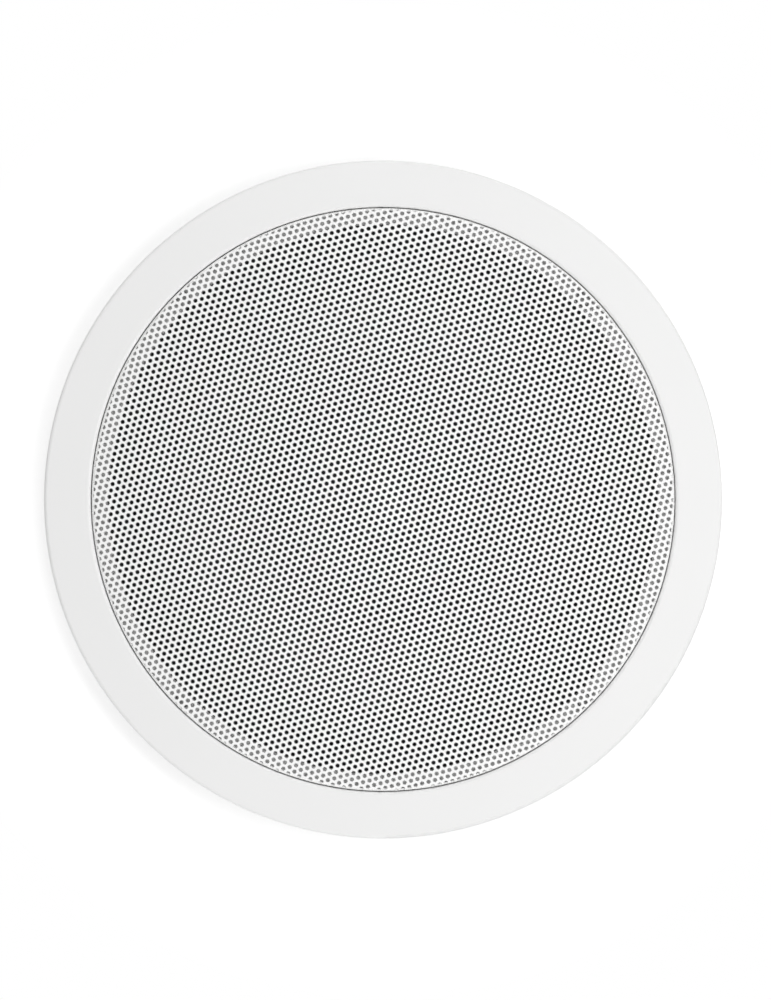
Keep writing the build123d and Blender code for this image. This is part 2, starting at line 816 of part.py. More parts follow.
with BuildPart() as board_screws:
    with BuildSketch(Plane.XZ.offset(-board_back)):
        with Locations((0, (board_z + board_top) / 2)):
            with GridLocations(2 * upright_x, board_height - 2 * board_screw_inset, 2, 2):
                Circle(board_screw_radius)
    extrude(amount=board_sheet + upright_depth)
    with BuildSketch(Plane.XZ.offset(-board_back)):
        with Locations((0, (board_z + board_top) / 2)):
            with GridLocations(2 * upright_x, board_height - 2 * board_screw_inset, 2, 2):
                Circle(board_screw_head_radius)
    extrude(amount=-board_screw_head_height)
    fillet(board_screws.edges().group_by(Axis.Y)[-1], head_round)
    with BuildSketch(Plane.XZ.offset(-board_back - board_screw_head_height)):
        with Locations((0, (board_z + board_top) / 2)):
            with GridLocations(2 * upright_x, board_height - 2 * board_screw_inset, 2, 2):
                cross_recess(board_screw_head_radius)
    extrude(amount=recess_depth, mode=Mode.SUBTRACT)
save(board_screws, "board_screws")

# Inductor: a bobbin standing on the board, and its winding
bobbin_x = -board_width / 4
component_z = board_top - bobbin_radius - 2 * component_gap
with BuildPart() as bobbin:
    with BuildSketch(board_plane(bobbin_x, component_z)):
        Circle(bobbin_core_radius)
    extrude(amount=bobbin_length)
    for level in (0, bobbin_length - bobbin_flange):
        with BuildSketch(board_plane(bobbin_x, component_z).offset(level)):
            Circle(bobbin_radius)
        extrude(amount=bobbin_flange)
save(bobbin, "inductor_bobbin")

with BuildPart() as inductor:
    with BuildSketch(board_plane(bobbin_x, component_z).offset(bobbin_flange)):
        ring(bobbin_core_radius, bobbin_radius - bobbin_wire_inset)
    extrude(amount=bobbin_length - 2 * bobbin_flange)
save(inductor, "inductor_winding")

# Capacitor lying along the board and a resistor below it
component_x = board_width / 6
with BuildPart() as capacitor:
    capacitor_axis = Plane(
        origin=(
            component_x - capacitor_length / 2,
            board_back + capacitor_radius + component_gap,
            board_top - capacitor_radius - component_gap,
        ),
        x_dir=(0, 1, 0),
        z_dir=(1, 0, 0),
    )
    with BuildSketch(capacitor_axis):
        Circle(capacitor_radius)
    extrude(amount=capacitor_length)
    fillet(capacitor.edges().filter_by(GeomType.CIRCLE), capacitor_round)
save(capacitor, "capacitor")

resistor_top = board_top - 2 * capacitor_radius - 4 * component_gap
with BuildPart() as resistor:
    with BuildSketch(board_plane(component_x, resistor_top - resistor_height / 2)):
        RectangleRounded(resistor_length, resistor_height, resistor_round)
    extrude(amount=resistor_depth)
save(resistor, "resistor")

# Terminal block on the board's outer face, with a pocket and a wire hole for each lever
with BuildPart() as block:
    with BuildSketch(Plane.XY.offset(block_z)):
        with Locations((0, block_mid_y)):
            RectangleRounded(terminal_width, terminal_depth, terminal_round)
    extrude(amount=terminal_height)
    with BuildSketch(Plane.XY.offset(pocket_floor)):
        with Locations((0, block_mid_y)):
            with GridLocations(terminal_spacing, 0, 2, 1):
                Rectangle(collar_width + 2 * lever_clearance, collar_depth + 2 * lever_clearance)
    extrude(amount=block_top - pocket_floor, mode=Mode.SUBTRACT)
    wire_z = (pocket_floor + collar_z) / 2
    with BuildSketch(Plane.XZ.offset(terminal_depth - board_face)):
        with Locations((0, wire_z)):
            with GridLocations(terminal_spacing, 0, 2, 1):
                Circle(wire_hole_radius)
    extrude(amount=-terminal_depth / 2, mode=Mode.SUBTRACT)
    with BuildSketch(Plane.XZ.offset(-board_face)):
        with Locations((0, wire_z)):
            with GridLocations(terminal_spacing, 0, 2, 1):
                Rectangle(contact_width, contact_height)
    extrude(amount=terminal_depth / 2, mode=Mode.SUBTRACT)
save(block, "terminal_block")

with BuildPart() as contacts:
    contact_depth = (terminal_depth - collar_depth) / 2 - lever_clearance
    with BuildSketch(Plane.XZ.offset(-board_face)):
        with Locations((0, wire_z)):
            with GridLocations(terminal_spacing, 0, 2, 1):
                Rectangle(contact_width, contact_height)
    extrude(amount=contact_depth)
save(contacts, "terminal_contacts")

with BuildPart() as cover:
    with BuildSketch(Plane.XY.offset(block_top)):
        with Locations((0, block_mid_y)):
            RectangleRounded(terminal_width, terminal_depth, terminal_round)
            with GridLocations(terminal_spacing, 0, 2, 1):
                Rectangle(
                    lever_width + 2 * lever_clearance,
                    lever_depth + 2 * lever_clearance,
                    mode=Mode.SUBTRACT,
                )
    extrude(amount=terminal_cover)
save(cover, "terminal_cover")

# Push levers, each held up under the cover by its spring
for lever_x, colour in ((-terminal_spacing / 2, "black"), (terminal_spacing / 2, "red")):
    with BuildPart() as lever:
        with BuildSketch(Plane.XY.offset(collar_z)):
            with Locations((lever_x, block_mid_y)):
                Rectangle(collar_width, collar_depth)
        extrude(amount=lever_collar_height)
        with BuildSketch(Plane.XY.offset(block_top)):
            with Locations((lever_x, block_mid_y)):
                Rectangle(lever_width, lever_depth)
        extrude(amount=terminal_cover + lever_rise)
        fillet(lever.faces().sort_by(Axis.Z)[-1].edges(), lever_collar)
    save(lever, f"terminal_lever_{colour}")

    with BuildPart() as spring:
        with BuildSketch(Plane.XY.offset(pocket_floor)):
            with Locations((lever_x, block_mid_y)):
                ring(spring_radius - spring_wall, spring_radius)
        extrude(amount=collar_z - pocket_floor)
    save(spring, f"terminal_spring_{colour}")
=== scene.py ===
# %% [markdown]
# # A round in-ceiling speaker
#
# The speaker hangs in a ceiling with its white grille facing the room. The rim's back lies on
# the plane Z = 0, the grille faces down and the motor stands above. The construction comes from
# the frame, so this lesson only adds what a drawing can't hold: the thousands of holes in the
# grille, the soft roll and spider that let the cone move, threads, windings and every finish.

# %% Load the frame
import json
import math
import bpy
import numpy as np
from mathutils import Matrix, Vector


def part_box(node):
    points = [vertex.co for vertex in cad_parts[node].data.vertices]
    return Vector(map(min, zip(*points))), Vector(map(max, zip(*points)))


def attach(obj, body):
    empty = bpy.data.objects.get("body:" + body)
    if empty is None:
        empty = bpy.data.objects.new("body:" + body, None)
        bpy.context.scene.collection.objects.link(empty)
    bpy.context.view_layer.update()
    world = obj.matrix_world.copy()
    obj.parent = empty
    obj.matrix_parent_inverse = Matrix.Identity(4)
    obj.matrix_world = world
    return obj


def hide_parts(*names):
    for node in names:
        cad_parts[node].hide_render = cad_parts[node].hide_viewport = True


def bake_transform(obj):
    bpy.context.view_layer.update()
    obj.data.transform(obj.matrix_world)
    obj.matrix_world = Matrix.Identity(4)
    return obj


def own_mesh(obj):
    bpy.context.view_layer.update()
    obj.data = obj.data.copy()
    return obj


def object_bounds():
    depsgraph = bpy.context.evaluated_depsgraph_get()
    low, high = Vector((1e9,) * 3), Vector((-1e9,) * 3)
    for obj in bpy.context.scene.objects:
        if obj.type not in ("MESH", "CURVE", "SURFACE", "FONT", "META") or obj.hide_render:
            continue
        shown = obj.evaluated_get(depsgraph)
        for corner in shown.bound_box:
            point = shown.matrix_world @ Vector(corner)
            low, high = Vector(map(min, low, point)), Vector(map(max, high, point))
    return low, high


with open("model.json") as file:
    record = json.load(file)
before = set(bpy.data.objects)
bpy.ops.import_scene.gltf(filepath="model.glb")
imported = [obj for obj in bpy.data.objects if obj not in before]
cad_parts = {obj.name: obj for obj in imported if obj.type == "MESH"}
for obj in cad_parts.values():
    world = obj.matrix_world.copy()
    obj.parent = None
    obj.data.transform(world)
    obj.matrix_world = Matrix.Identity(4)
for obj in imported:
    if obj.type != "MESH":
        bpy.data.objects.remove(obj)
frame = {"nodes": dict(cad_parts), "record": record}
cad_low, cad_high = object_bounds()
MM = 0.001

# %% [markdown]
# ## Camera
#
# The picture looks straight up at the grille with a long lens, so the rim is a true circle. The
# rim's diameter in pixels sets how much of the room one picture height covers. A small sideways
# move of the camera, not a lens shift, puts the rim a little left of the picture's middle.

# %% Camera below the grille
PICTURE_WIDTH, PICTURE_HEIGHT = 771, 1000
RIM_RADIUS_PX = 339.6
RIM_CENTRE_PX = (383.15, 499.55)
CAMERA_DISTANCE = 1.6
SENSOR = 36.0

rim_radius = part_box("frame")[1].x
rim_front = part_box("frame")[0].z
metres_per_pixel = rim_radius / RIM_RADIUS_PX
camera_data = bpy.data.cameras.new("room_camera")
camera_data.sensor_width = SENSOR
camera_data.lens = SENSOR * CAMERA_DISTANCE / (PICTURE_HEIGHT * metres_per_pixel)
camera = bpy.data.objects.new("room_camera", camera_data)
camera.location = (
    (PICTURE_WIDTH / 2 - RIM_CENTRE_PX[0]) * metres_per_pixel,
    (PICTURE_HEIGHT / 2 - RIM_CENTRE_PX[1]) * metres_per_pixel,
    rim_front - CAMERA_DISTANCE,
)
camera.rotation_euler = (math.pi, 0, 0)
bpy.context.scene.collection.objects.link(camera)
bpy.context.scene.camera = camera
bpy.context.scene.view_settings.view_transform = "Standard"
print("lens", round(camera_data.lens, 1), "mm,", round(metres_per_pixel / MM, 4), "mm per pixel")

# %% [markdown]
# ## Shader sums
#
# Finishes are easier to read as sums than as boxes and wires. A `Finish` is one material; its
# `node` method adds any node. What comes back is a `Value`, and adding or multiplying values
# adds the Math nodes. A plain number may stand first too, as in 1 - cells. Patterns read Object
# coordinates, in metres, so they have a real size.


# %% Values that add and multiply
class Value:
    """A number or colour that varies over a surface, held by one output socket."""

    def __init__(self, finish, socket):
        self.finish = finish
        self.socket = socket

    def math(self, operation, *others):
        """Apply a Math operation with this value first."""
        inputs = dict(enumerate((self, *others)))
        return self.finish.node("ShaderNodeMath", {"operation": operation}, inputs)

    def __add__(self, other):
        return self.math("ADD", other)

    def __sub__(self, other):
        return self.math("SUBTRACT", other)

    def __rsub__(self, other):
        return self.finish.node("ShaderNodeMath", {"operation": "SUBTRACT"}, {0: other, 1: self})

    def __mul__(self, other):
        return self.math("MULTIPLY", other)

    __radd__ = __add__
    __rmul__ = __mul__

    def spread(self, low, high):
        """Stretch a value that runs from 0 to 1 so that it runs from low to high."""
        return self * (high - low) + low

    def wave(self, pitch):
        """Sine of this distance, with one crest in each pitch."""
        return (self * (2 * math.pi / pitch)).math("SINE")

    def lifted(self):
        """Turn a wave between -1 and 1 into one between 0 and 1."""
        return self * 0.5 + 0.5


print("a number may stand first in", [name for name in vars(Value) if name.startswith("__r")])

# %% Finishes that take nodes
# A Mix node has sockets for numbers, vectors and colours, and these are the ones for colours
MIX_FACTOR, MIX_FIRST, MIX_SECOND, MIX_RESULT = 0, 6, 7, 2


class Finish:
    """One material, with a Principled surface whose plain sockets are set at once."""

    def __init__(self, name, **plain):
        self.material = bpy.data.materials.new(name)
        self.material.use_nodes = True
        self.tree = self.material.node_tree
        self.surface = self.tree.nodes["Principled BSDF"]
        for socket, value in plain.items():
            title = socket.replace("_", " ").title().replace("Ior", "IOR")
            self.surface.inputs[title].default_value = value

    def node(self, kind, settings=None, inputs=None, output=0):
        """Add a node: its settings first, then a number or a Value on each named socket."""
        made = self.tree.nodes.new(kind)
        for name, value in (settings or {}).items():
            setattr(made, name, value)
        for name, value in (inputs or {}).items():
            if isinstance(value, Value):
                self.tree.links.new(value.socket, made.inputs[name])
            else:
                made.inputs[name].default_value = value
        return Value(self, made.outputs[output])

    def feed(self, socket, value):
        """Link a value to a socket of the surface."""
        self.tree.links.new(value.socket, self.surface.inputs[socket])

    def place(self):
        """Object coordinates, in metres."""
        return self.node("ShaderNodeTexCoord", output="Object")

    def axis_parts(self):
        """The three coordinates as values."""
        parts = self.node("ShaderNodeSeparateXYZ", None, {0: self.place()})
        return [Value(self, output) for output in parts.socket.node.outputs]

    def axis_distance(self):
        """Distance from the speaker's axis: the root of x squared plus y squared."""
        x, y, _ = self.axis_parts()
        return (x * x + y * y).math("SQRT")

    def noise(self, size, detail=2.0, place=None):
        """Noise from 0 to 1 whose grains are about size metres across."""
        inputs = {"Vector": place or self.place(), "Scale": 1 / size, "Detail": detail}
        return self.node("ShaderNodeTexNoise", None, inputs)

    def between(self, factor, first, second):
        """Mix two colours, each a tuple or a value."""
        pair = [colour if isinstance(colour, Value) else (*colour, 1) for colour in (first, second)]
        inputs = {MIX_FACTOR: factor, MIX_FIRST: pair[0], MIX_SECOND: pair[1]}
        return self.node("ShaderNodeMix", {"data_type": "RGBA"}, inputs, output=MIX_RESULT)

    def ramp(self, value, start, end):
        """Rise smoothly from 0 where the value is start to 1 where it is end."""
        inputs = {"Value": value, "From Min": start, "From Max": end}
        return self.node("ShaderNodeMapRange", {"interpolation_type": "SMOOTHSTEP"}, inputs)

    def relief(self, height, depth, strength):
        """Bump the surface: height runs from 0 to 1 over depth metres."""
        inputs = {"Height": height, "Distance": depth, "Strength": strength}
        self.feed("Normal", self.node("ShaderNodeBump", None, inputs))


def scaled(colour, share, lift=0.0):
    """A lighter or darker tone: each part of the colour times share, plus lift."""
    return tuple(part * share + lift for part in colour)


print("mixed colours come from output", MIX_RESULT)

# %% [markdown]
# ## White finishes
#
# The frame is moulded plastic with a fine spark-eroded grain, and the grille is steel with a
# baked powder coat and its soft orange peel. Plain white would do from far away but looks like
# a toy up close. Both finishes here vary a little in colour and roughness, and have a bump at
# the size of the real grain.


# %% Plastic and powder coat
def moulded_white(name, colour, grain):
    """White plastic: colour drifts by a percent over centimetres, with a fine moulded grain."""
    finish = Finish(name, specular_ior_level=0.3)
    finish.feed("Base Color", finish.between(finish.noise(40 * MM), scaled(colour, 0.985), colour))
    finish.feed("Roughness", finish.noise(3 * MM).spread(0.46, 0.54))
    finish.relief(finish.noise(grain), depth=0.02 * MM, strength=0.35)
    return finish.material


def powder_coat(name, colour):
    """Baked powder: slow waves of gloss and a shallow orange peel under a millimetre wide."""
    finish = Finish(name)
    finish.feed("Base Color", finish.between(finish.noise(25 * MM), scaled(colour, 0.99), colour))
    finish.feed("Roughness", finish.noise(6 * MM).spread(0.45, 0.55))
    finish.relief(finish.noise(0.9 * MM), depth=0.012 * MM, strength=0.3)
    return finish.material


FRAME_WHITE = (0.865, 0.865, 0.862)
GRILLE_WHITE = (0.93, 0.93, 0.925)
finishes = {
    "white_plastic": moulded_white("white_plastic", FRAME_WHITE, grain=0.25 * MM),
    "white_paint": powder_coat("white_paint", GRILLE_WHITE),
}
print("white finishes", sorted(finishes))

# %% [markdown]
# ## Black finishes
#
# Most of what lies behind the grille is black: the painted basket, the rubber roll, the foam
# seal and the moulded cone. Black on black would run together, so they differ in gloss and grain
# more than in colour. The foam's cells come from a Voronoi pattern and the cone's rings from a
# sine of the distance to the axis, because noise alone has no cells and no rings.


# %% Paint, rubber, foam and cone
def satin_black(name, colour, grain, roughness, shine=0.3):
    """Dark paint or plastic: specks of lighter pigment over a base, on a grained surface."""
    finish = Finish(name, specular_ior_level=shine)
    speck = scaled(colour, 1.35, lift=0.004)
    finish.feed("Base Color", finish.between(finish.noise(2 * grain), colour, speck))
    finish.feed("Roughness", finish.noise(8 * grain).spread(roughness - 0.08, roughness + 0.08))
    finish.relief(finish.noise(grain), depth=0.02 * MM, strength=0.3)
    return finish.material


def foam_black(name, colour, cell):
    """Closed-cell foam: rounded cells from a Voronoi pattern, matt and slightly uneven."""
    finish = Finish(name, roughness=0.95, specular_ior_level=0.2)
    inputs = {"Vector": finish.place(), "Scale": 1 / cell}
    cells = finish.node("ShaderNodeTexVoronoi", None, inputs)
    finish.feed("Base Color", finish.between(cells, colour, scaled(colour, 1.7, lift=0.006)))
    finish.relief(1 - cells, depth=0.15 * MM, strength=0.6)
    return finish.material


def pressed_cone(name, colour, ring_pitch):
    """Moulded cone: fine rings pressed into the sheet, and mica flecks."""
    finish = Finish(name, specular_ior_level=0.3)
    fleck = finish.noise(0.5 * MM, detail=1.0)
    finish.feed("Base Color", finish.between(fleck, colour, scaled(colour, 1.5)))
    finish.feed("Roughness", fleck.spread(0.4, 0.6))
    rings = finish.axis_distance().wave(ring_pitch).lifted()
    finish.relief(rings, depth=0.04 * MM, strength=0.5)
    return finish.material


SATIN_BLACKS = {
    "black_paint": {"colour": (0.018, 0.018, 0.019), "grain": 0.3 * MM, "roughness": 0.38},
    "black_plastic": {"colour": (0.013, 0.013, 0.0135), "grain": 0.25 * MM, "roughness": 0.45},
    "black_rubber": {"colour": (0.018, 0.018, 0.018), "grain": 0.5 * MM, "roughness": 0.62},
    "dome_film": {"colour": (0.03, 0.03, 0.032), "grain": 0.4 * MM, "roughness": 0.14, "shine": 0.5},
}
for name, look in SATIN_BLACKS.items():
    finishes[name] = satin_black(name, **look)
finishes["black_foam"] = foam_black("black_foam", (0.026, 0.026, 0.026), cell=0.6 * MM)
finishes["cone_film"] = pressed_cone("cone_film", (0.028, 0.028, 0.029), ring_pitch=1.2 * MM)
print("finishes so far", len(finishes))

# %% [markdown]
# ## Metal finishes
#
# The motor's plates are turned on a lathe and zinc plated, the screws are plated, the inserts
# are brass and the windings copper. All are metals in the shader, and what tells them apart is
# colour and how the gloss is broken up. The lathe's marks are noise that is read along the
# distance to the axis only, so that it forms rings. The magnet is no metal but fired ferrite.


# %% Plated, turned and fired
def plated(name, colour, tint, roughness):
    """Plated or turned metal: a cloudy tint and fine scratches in the roughness."""
    finish = Finish(name, metallic=1.0)
    finish.feed("Base Color", finish.between(finish.noise(9 * MM), colour, tint))
    finish.feed("Roughness", finish.noise(0.7 * MM).spread(roughness - 0.09, roughness + 0.09))
    finish.relief(finish.noise(0.5 * MM), depth=0.01 * MM, strength=0.25)
    return finish.material


def turned_steel(name, colour, tint):
    """Zinc on a turned plate: rings of gloss round the axis, as fine as the tool's marks."""
    finish = Finish(name, metallic=1.0)
    outwards = finish.node("ShaderNodeCombineXYZ", None, {0: finish.axis_distance()})
    marks = finish.noise(0.9 * MM, detail=3.0, place=outwards)
    finish.feed("Base Color", finish.between(finish.noise(14 * MM, detail=4.0), colour, tint))
    smear = finish.noise(5 * MM) * 0.12
    finish.feed("Roughness", marks.spread(0.2, 0.42) + smear)
    finish.relief(marks, depth=0.012 * MM, strength=0.5)
    return finish.material


def ferrite(name, colour, dust_colour):
    """Pressed and fired ferrite: charcoal grey, matt, with pits and pale dust."""
    finish = Finish(name)
    pits = finish.noise(1.2 * MM, detail=6.0)
    dust = finish.noise(14 * MM) * pits
    finish.feed("Base Color", finish.between(dust, colour, dust_colour))
    finish.feed("Roughness", pits.spread(0.55, 0.75))
    finish.relief(pits, depth=0.12 * MM, strength=0.5)
    return finish.material


PLATED_METALS = {
    "plated_steel": {"colour": (0.4, 0.4, 0.405), "tint": (0.48, 0.48, 0.47), "roughness": 0.38},
    "brass": {"colour": (0.72, 0.53, 0.22), "tint": (0.8, 0.62, 0.3), "roughness": 0.3},
    "copper_wire": {"colour": (0.56, 0.24, 0.1), "tint": (0.66, 0.32, 0.15), "roughness": 0.28},
}
for name, look in PLATED_METALS.items():
    finishes[name] = plated(name, **look)
finishes["ferrite"] = ferrite("ferrite", (0.05, 0.05, 0.053), (0.16, 0.155, 0.15))
motor_steel = turned_steel("motor_steel", (0.2, 0.203, 0.21), (0.28, 0.28, 0.277))
print("metals", len(PLATED_METALS) + 1)

# %% [markdown]
# ## Cloth, film and board finishes
#
# The spider is woven cloth dipped in resin, the circuit board has a woven glass core under its
# green mask, and the small parts are coloured plastic, film and cement. A weave could be an
# image, but two sine waves at right angles, multiplied, give crossing threads at any size.


# %% Weaves and small parts
def spider_cloth(name, thread):
    """Resin-dipped cloth: threads cross at right angles, so two sine waves are multiplied."""
    finish = Finish(name, roughness=0.85)
    x, y, _ = finish.axis_parts()
    weave = (x.wave(thread) * y.wave(thread)).lifted()
    finish.feed("Base Color", finish.between(weave, (0.42, 0.29, 0.12), (0.6, 0.46, 0.22)))
    finish.relief(weave, depth=0.12 * MM, strength=0.6)
    return finish.material


def laminate(name, thread):
    """Circuit board: green mask over a woven glass core, which shows as a faint check."""
    finish = Finish(name, roughness=0.35, coat_weight=0.3)
    x, _, z = finish.axis_parts()
    check = (x.wave(thread) * z.wave(thread)).lifted()
    cloudy_check = check * 0.5 + finish.noise(12 * MM) * 0.5
    finish.feed("Base Color", finish.between(cloudy_check, (0.012, 0.07, 0.03), (0.025, 0.13, 0.06)))
    finish.relief(check, depth=0.02 * MM, strength=0.3)
    return finish.material


def plain_mould(name, colour, roughness, grain=0.4 * MM, coat=0.0):
    """Coloured plastic, film or cement: a slow drift in colour and a fine grain."""
    finish = Finish(name, coat_weight=coat)
    drift = finish.noise(4 * MM, detail=3.0)
    finish.feed("Base Color", finish.between(drift, scaled(colour, 0.82), colour))
    finish.feed("Roughness", finish.noise(1.5 * MM).spread(roughness - 0.06, roughness + 0.06))
    finish.relief(finish.noise(grain), depth=0.02 * MM, strength=0.3)
    return finish.material


SMALL_PARTS = {
    "former_film": {"colour": (0.5, 0.22, 0.04), "roughness": 0.3, "coat": 0.4},
    "bobbin_plastic": {"colour": (0.72, 0.7, 0.62), "roughness": 0.5},
    "capacitor_sleeve": {"colour": (0.02, 0.03, 0.09), "roughness": 0.25, "coat": 0.3},
    "cement": {"colour": (0.74, 0.72, 0.67), "roughness": 0.85, "grain": 0.8 * MM},
    "red_plastic": {"colour": (0.5, 0.016, 0.014), "roughness": 0.4},
    "phenolic": {"colour": (0.22, 0.085, 0.03), "roughness": 0.5},
}
for name, look in SMALL_PARTS.items():
    finishes[name] = plain_mould(name, **look)
finishes["spider_cloth"] = spider_cloth("spider_cloth", thread=0.8 * MM)
finishes["board_laminate"] = laminate("board_laminate", thread=1.1 * MM)
print("finishes", len(finishes))

# %% Finishes on the drawn nodes
for part in frame["record"]["subparts"]:
    node = frame["nodes"][part["node"]]
    node.data.materials.clear()
    node.data.materials.append(finishes[part["material_slot"]])
for name in ("front_plate", "back_plate_and_pole"):
    frame["nodes"][name].data.materials[0] = motor_steel

# %% [markdown]
# ## Surfaces from grids
#
# Most pieces here are a profile carried round an axis or along a path. Both are one grid of
# points: rows along the path, columns round the profile. `grid_faces` joins neighbours on the
# grid and `add_mesh` puts the arrays into a mesh, which `dress` gives a finish.


# %% Grid helpers
def grid_faces(rows, columns, close_rows=False):
    """Quads between neighbouring points of a rows by columns grid, closed round the columns."""
    index = np.arange(rows * columns).reshape(rows, columns)
    if close_rows:
        index = np.vstack([index, index[:1]])
    index = np.hstack([index, index[:, :1]])
    corners = (index[:-1, :-1], index[:-1, 1:], index[1:, 1:], index[1:, :-1])
    return np.stack([corner.ravel() for corner in corners], axis=1)


def add_mesh(name, vertices, face_sets, smooth):
    """Mesh object from a point array and face arrays, one array for each number of corners."""
    mesh = bpy.data.meshes.new(name)
    mesh.vertices.add(len(vertices))
    mesh.vertices.foreach_set("co", np.ascontiguousarray(vertices, np.float32).ravel())
    loops = np.concatenate([faces.ravel() for faces in face_sets]).astype(np.int32)
    sizes = np.concatenate([np.full(len(faces), faces.shape[1]) for faces in face_sets])
    mesh.loops.add(len(loops))
    mesh.loops.foreach_set("vertex_index", loops)
    mesh.polygons.add(len(sizes))
    mesh.polygons.foreach_set("loop_start", (np.cumsum(sizes) - sizes).astype(np.int32))
    mesh.polygons.foreach_set("use_smooth", np.broadcast_to(smooth, len(sizes)).astype(bool))
    mesh.update(calc_edges=True)
    mesh.validate()
    piece = bpy.data.objects.new(name, mesh)
    bpy.context.scene.collection.objects.link(piece)
    return piece


def dress(piece, slot, *nodes):
    """Give a new piece its finish and hide the drawn nodes that it stands for."""
    piece.data.materials.append(finishes[slot])
    if nodes:
        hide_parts(*nodes)
    return piece


def full_turn(columns):
    """Evenly spaced angles round a circle."""
    return np.linspace(0, 2 * math.pi, columns, endpoint=False)


def turned(profile, segments):
    """Closed profile of (radius, height) points carried round the Z axis, as a ring.

    At each angle x is the radius times the cosine, y the radius times the sine, z the height.
    """
    angle = full_turn(segments)[:, None]
    radius, height = profile[:, 0], profile[:, 1]
    points = np.stack([radius * np.cos(angle), radius * np.sin(angle), height + 0 * angle], axis=2)
    return points.reshape(-1, 3), grid_faces(segments, len(profile), close_rows=True)


print("a closed grid of 3 by 4 points has", len(grid_faces(3, 4, close_rows=True)), "quads")

# %% [markdown]
# ## Perforated grille
#
# The grille is one steel sheet, punched flat with round holes on a triangular lattice and then
# pressed into a shallow crown with a turned edge. Cutting seven thousand holes one by one would
# be slow. Instead the sheet is laid out as the punch sees it: each hole is a small six-cornered
# ring on the lattice, strips join neighbouring rings and a triangle fills each spot between
# three rings. Then the whole flat array is formed: a point's distance from the middle becomes a
# distance along the crown and round the bend.

# %% Sizes of the sheet
HOLE_PITCH = 2.6237 * MM
HOLE_RADIUS = 0.84 * MM
ROW_ANGLE = math.radians(-15.7)
FIRST_HOLE = np.array([-0.198, -0.688]) * MM
# The punch's feed is a little off, so the lattice is not quite regular
FEED_STRETCH = np.array([1.0018, 0.9935])
SHEET = 0.8 * MM
CROWN_RADIUS = 1250 * MM
BEND_RADIUS = 1.5 * MM

grille_low, grille_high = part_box("grille")
edge_radius = grille_high.x
# The bend runs smoothly into the crown and into the edge, and that gives the crown's radius
crown_end = (edge_radius - BEND_RADIUS) / (1 - BEND_RADIUS / CROWN_RADIUS)
crown_angle = math.asin(crown_end / CROWN_RADIUS)
crown_length = CROWN_RADIUS * crown_angle
crown_depth = CROWN_RADIUS * (1 - math.cos(crown_angle))
bend_length = BEND_RADIUS * (math.pi / 2 - crown_angle)
bend_end_height = grille_low.z + crown_depth + BEND_RADIUS * math.cos(crown_angle)
edge_length = grille_high.z - bend_end_height
print("crown", round(crown_depth / MM, 2), "mm deep, edge", round(edge_length / MM, 2), "mm tall")


# %% Forming the flat sheet
def form(along, angle, depth):
    """Place flat points on the formed sheet.

    Up to the crown's end a point lies on a sphere: radius is R sin(s/R). Round the bend it lies
    on a small circle, and past it on the straight turned edge. The slope is the same in both
    formulas, so depth moves a point along the sheet's own normal, towards the back.
    """
    on_crown = along < crown_length
    bent = np.minimum(crown_angle + (along - crown_length) / BEND_RADIUS, math.pi / 2)
    slope = np.where(on_crown, along / CROWN_RADIUS, bent)
    bend_middle = crown_end - BEND_RADIUS * math.sin(crown_angle)
    radius = np.where(
        on_crown,
        CROWN_RADIUS * np.sin(slope),
        bend_middle + BEND_RADIUS * np.sin(slope),
    )
    height = np.where(
        on_crown,
        grille_low.z + CROWN_RADIUS * (1 - np.cos(slope)),
        bend_end_height - BEND_RADIUS * np.cos(slope),
    )
    height = height + np.maximum(along - crown_length - bend_length, 0)
    radius = radius - depth * np.sin(slope)
    height = height + depth * np.cos(slope)
    parts = np.broadcast_arrays(radius * np.cos(angle), radius * np.sin(angle), height)
    return np.stack(parts, axis=-1)


print("middle of the grille at", form(np.zeros(1), np.zeros(1), 0.0).round(4).tolist())

# %% Lattice of holes
HOLES_PAST_CROWN = 1.4 * MM
BLANK_PAST_BEND = 0.2 * MM
SPARE_ROWS = 3
last_hole = crown_length + HOLES_PAST_CROWN
blank_edge = crown_length + bend_length + BLANK_PAST_BEND
# Rows lie closer together than the holes in a row, by the cosine of 30 degrees
reach = int(blank_edge / HOLE_PITCH / math.cos(math.radians(30))) + SPARE_ROWS
step = np.arange(-reach, reach + 1)
first, second = np.meshgrid(step, step, indexing="ij")
turn = ROW_ANGLE + np.radians([0, 60])
rows = HOLE_PITCH * np.stack([np.cos(turn), np.sin(turn)], axis=1)
centres = (FIRST_HOLE + first[..., None] * rows[0] + second[..., None] * rows[1]) * FEED_STRETCH
is_hole = np.hypot(centres[..., 0], centres[..., 1]) < last_hole

# A six-cornered ring with the area of the round hole, corners between the rows
ring_radius = HOLE_RADIUS * math.sqrt(2 * math.pi / (3 * math.sqrt(3)))
corner = ROW_ANGLE + np.radians(30 + 60 * np.arange(6))
flat = centres[..., None, :] + ring_radius * np.stack([np.cos(corner), np.sin(corner)], axis=1)
corner_index = np.arange(flat[..., 0].size).reshape(flat.shape[:3])
print("holes", int(is_hole.sum()))


# %% Strips, triangles and plugs of the flat sheet
def joined(*corners):
    """One face for each hole, through the given corners in turn."""
    return np.stack(corners, axis=-1).reshape(-1, len(corners))


here, right = corner_index[1:-1, 1:-1], corner_index[2:, 1:-1]
up, left_up = corner_index[1:-1, 2:], corner_index[:-2, 2:]
strips = np.concatenate(
    [
        joined(here[..., 5], right[..., 3], right[..., 2], here[..., 0]),
        joined(here[..., 0], up[..., 4], up[..., 3], here[..., 1]),
        joined(here[..., 1], left_up[..., 5], left_up[..., 4], here[..., 2]),
    ]
)
spots = np.concatenate(
    [
        joined(here[..., 0], right[..., 2], up[..., 4]),
        joined(here[..., 1], up[..., 3], left_up[..., 5]),
    ]
)
plugs = corner_index[~is_hole]

